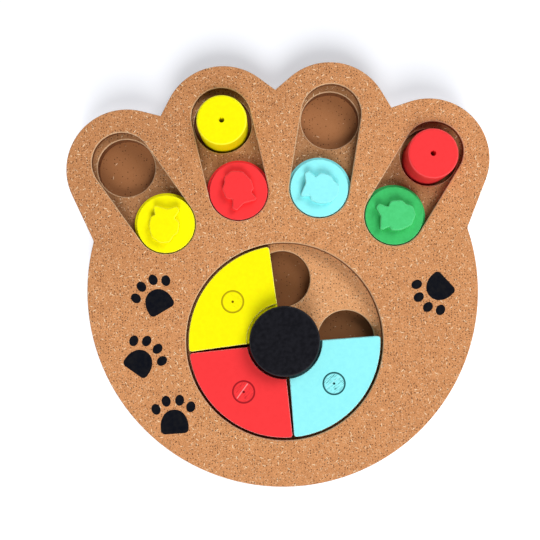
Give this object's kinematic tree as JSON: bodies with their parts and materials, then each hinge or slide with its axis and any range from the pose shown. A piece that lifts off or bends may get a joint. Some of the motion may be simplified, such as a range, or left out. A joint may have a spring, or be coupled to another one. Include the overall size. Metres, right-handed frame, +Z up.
{
  "type": "dog puzzle feeder",
  "caption": "Paw-shaped wooden treat puzzle board with sliding discs in the toes, turning fan covers round a centre knob, and lift-out pegs over its wells.",
  "frame": {"origin": "middle of the outline's bounding box, on the underside that rests on the floor", "axes": "+Z up out of the board's top, +Y towards the toes, +X to the right of someone who looks at the board with the toes away from them"},
  "size_m": [0.2456, 0.2437, 0.028],
  "materials": {
    "board_mdf": "bare fibreboard",
    "dowel_wood": "bare wood",
    "paint_black": "painted",
    "paint_blue": "painted",
    "paint_green": "painted",
    "paint_red": "painted",
    "paint_yellow": "painted",
    "routed_mdf": "cut fibreboard",
    "steel": "plated"
  },
  "bodies": {
    "board": {"base_panel": "board_mdf", "well_panel": "routed_mdf", "slide_panel": "routed_mdf", "top_panel": "board_mdf", "paw_print_1": "paint_black", "paw_print_2": "paint_black", "paw_print_3": "paint_black", "paw_print_4": "paint_black", "knob": "paint_black", "knob_hub": "dowel_wood", "knob_screw": "steel"},
    "slider_1": {"slider_disc_1": "paint_yellow", "fish_grip_1": "paint_yellow", "fish_pin_1": "dowel_wood"},
    "slider_2": {"slider_disc_2": "paint_red", "fish_grip_2": "paint_red", "fish_pin_2": "dowel_wood"},
    "slider_3": {"slider_disc_3": "paint_blue", "fish_grip_3": "paint_blue", "fish_pin_3": "dowel_wood"},
    "slider_4": {"slider_disc_4": "paint_green", "fish_grip_4": "paint_green", "fish_pin_4": "dowel_wood"},
    "lift_peg_yellow": {"peg_yellow": "paint_yellow"},
    "lift_peg_red": {"peg_red": "paint_red"},
    "cover_yellow": {"fan_yellow": "paint_yellow", "fan_plug_yellow": "paint_yellow"},
    "cover_red": {"fan_red": "paint_red", "fan_plug_red": "paint_red"},
    "cover_blue": {"fan_blue": "paint_blue", "fan_plug_blue": "paint_blue"}
  },
  "joints": [
    {"name": "slide_1", "type": "slide", "parent": "board", "child": "slider_1", "axis": [-0.5534, 0.8329, 0], "range_m": [0, 0.0442]},
    {"name": "slide_2", "type": "slide", "parent": "board", "child": "slider_2", "axis": [-0.1959, 0.9806, 0], "range_m": [0, 0.0073]},
    {"name": "slide_3", "type": "slide", "parent": "board", "child": "slider_3", "axis": [0.1959, 0.9806, 0], "range_m": [0, 0.0442]},
    {"name": "slide_4", "type": "slide", "parent": "board", "child": "slider_4", "axis": [0.5534, 0.8329, 0], "range_m": [0, 0.0073]},
    {"name": "lift_yellow", "type": "slide", "parent": "board", "child": "lift_peg_yellow", "axis": [0, 0, 1], "range_m": [0, 0.05]},
    {"name": "lift_red", "type": "slide", "parent": "board", "child": "lift_peg_red", "axis": [0, 0, 1], "range_m": [0, 0.05]},
    {"name": "turn_red", "type": "hinge", "parent": "board", "child": "cover_red", "pos_m": [0, -0.03916, 0.011], "axis": [0, 0, 1], "continuous": true},
    {"name": "turn_yellow", "type": "hinge", "parent": "cover_red", "child": "cover_yellow", "pos_m": [0, -0.03916, 0.011], "axis": [0, 0, 1], "range_deg": [-95.4, 0]},
    {"name": "turn_blue", "type": "hinge", "parent": "cover_red", "child": "cover_blue", "pos_m": [0, -0.03916, 0.011], "axis": [0, 0, 1], "range_deg": [0, 95.4]}
  ]
}
